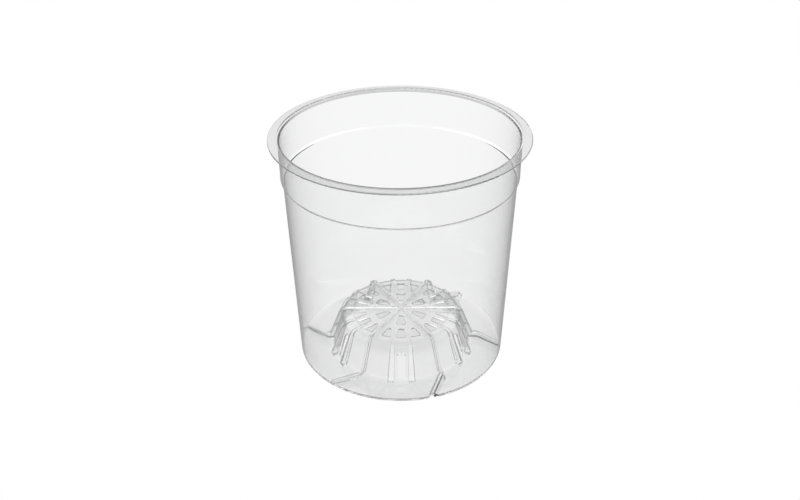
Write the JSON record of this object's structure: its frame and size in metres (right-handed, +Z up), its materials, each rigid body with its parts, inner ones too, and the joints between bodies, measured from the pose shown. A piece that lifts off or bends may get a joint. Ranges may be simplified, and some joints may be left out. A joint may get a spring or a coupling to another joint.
{
  "type": "orchid pot",
  "caption": "Clear tapered orchid pot with a flanged rim, a stepped collar and a slotted, ridged air dome in its floor.",
  "frame": {"origin": "centre of the underside, on the surface that the pot stands on", "axes": "+Z up along the pot's axis, -Y towards the front of the picture"},
  "size_m": [0.12, 0.12, 0.1145],
  "materials": {
    "clear_plastic": "clear, smooth, very slightly hazy"
  },
  "bodies": {
    "root": {"pot": "clear_plastic"}
  },
  "joints": []
}
